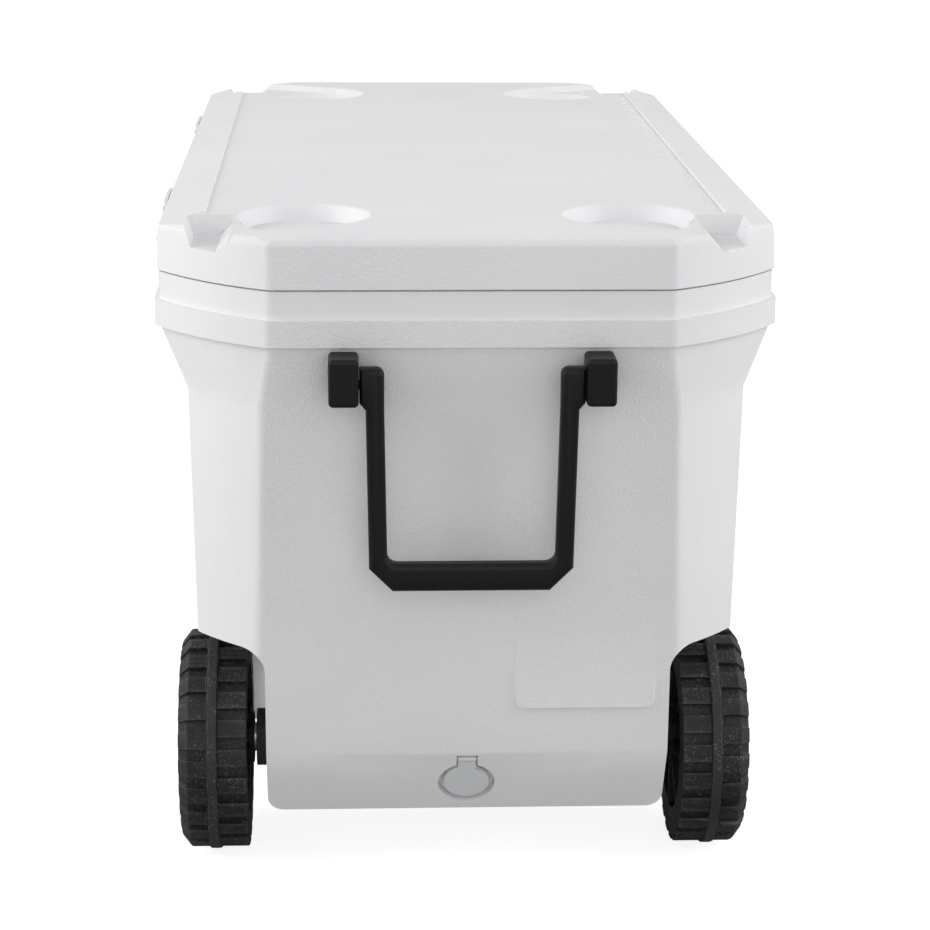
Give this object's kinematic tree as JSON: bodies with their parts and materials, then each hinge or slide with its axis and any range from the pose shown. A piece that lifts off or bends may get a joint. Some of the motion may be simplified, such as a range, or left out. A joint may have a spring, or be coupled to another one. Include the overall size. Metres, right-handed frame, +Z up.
{
  "type": "wheeled cooler",
  "caption": "Wheeled ice chest with a hinged foam-filled lid, drink recesses, strap notches, a swing-up carry handle, a tow handle, two wheels on an axle and a drain.",
  "frame": {"origin": "on the ground, under the middle of the lid", "axes": "+Z up; Y runs along the cooler from the wheel end (-Y) to the tow end (+Y); X runs across, with the hinges on -X and the opening side on +X"},
  "size_m": [0.4563, 0.946, 0.5],
  "materials": {
    "tub_plastic": "moulded, pebbled white polyethylene",
    "liner_plastic": "smooth white polypropylene",
    "foam": null,
    "hinge_plastic": "moulded grey-white polypropylene",
    "steel": "zinc plated",
    "tread_plastic": "dusty black moulded polyethylene",
    "wheel_plastic": "black moulded polyethylene",
    "rubber": "soft black rubber",
    "drain_plastic": "light grey polypropylene",
    "handle_plastic": "black moulded polypropylene"
  },
  "bodies": {
    "tub": {"axle": "steel", "axle_bush_left": "wheel_plastic", "axle_bush_right": "wheel_plastic", "axle_cap_left": "steel", "axle_cap_right": "steel", "axle_washer_left": "steel", "axle_washer_right": "steel", "carry_bracket_left": "handle_plastic", "carry_bracket_right": "handle_plastic", "drain_cap_pin": "steel", "drain_gasket": "rubber", "drain_nut": "drain_plastic", "drain_spout": "drain_plastic", "handle_screws": "steel", "hinge_pin_front": "steel", "hinge_pin_rear": "steel", "hinge_screws_tub": "steel", "hinge_tub_leaf_front": "hinge_plastic", "hinge_tub_leaf_rear": "hinge_plastic", "inner_liner": "liner_plastic", "outer_tub": "tub_plastic", "tow_bracket_left": "handle_plastic", "tow_bracket_right": "handle_plastic", "tub_foam": "foam"},
    "lid": {"lid_shell": "tub_plastic", "lid_liner": "liner_plastic", "lid_foam": "foam", "hinge_screws_lid": "steel", "hinge_lid_leaf_front": "hinge_plastic", "hinge_lid_leaf_rear": "hinge_plastic"},
    "carry_bail": {"carry_handle": "handle_plastic"},
    "tow_bail": {"tow_handle": "handle_plastic", "tow_grip": "rubber"},
    "wheel_left": {"wheel_tread_left": "tread_plastic", "wheel_hub_left": "wheel_plastic"},
    "wheel_right": {"wheel_tread_right": "tread_plastic", "wheel_hub_right": "wheel_plastic"},
    "cap": {"drain_cap": "drain_plastic"}
  },
  "joints": [
    {"name": "lid_hinge", "type": "hinge", "parent": "tub", "child": "lid", "pos_m": [-0.2273, 0, 0.46], "axis": [0, -1, 0], "range_deg": [0, 100]},
    {"name": "carry_handle_swing", "type": "hinge", "parent": "tub", "child": "carry_bail", "pos_m": [0, -0.46, 0.398], "axis": [-1, 0, 0], "range_deg": [0, 150]},
    {"name": "tow_handle_swing", "type": "hinge", "parent": "tub", "child": "tow_bail", "pos_m": [0, 0.46, 0.398], "axis": [1, 0, 0], "range_deg": [0, 120]},
    {"name": "wheel_left_spin", "type": "hinge", "parent": "tub", "child": "wheel_left", "pos_m": [-0.1885, -0.321, 0.085], "axis": [1, 0, 0], "continuous": true},
    {"name": "wheel_right_spin", "type": "hinge", "parent": "tub", "child": "wheel_right", "pos_m": [0.1885, -0.321, 0.085], "axis": [1, 0, 0], "continuous": true},
    {"name": "drain_cap_hinge", "type": "hinge", "parent": "tub", "child": "cap", "pos_m": [0, -0.42232, 0.10616], "axis": [-1, 0, 0], "range_deg": [0, 110]}
  ]
}
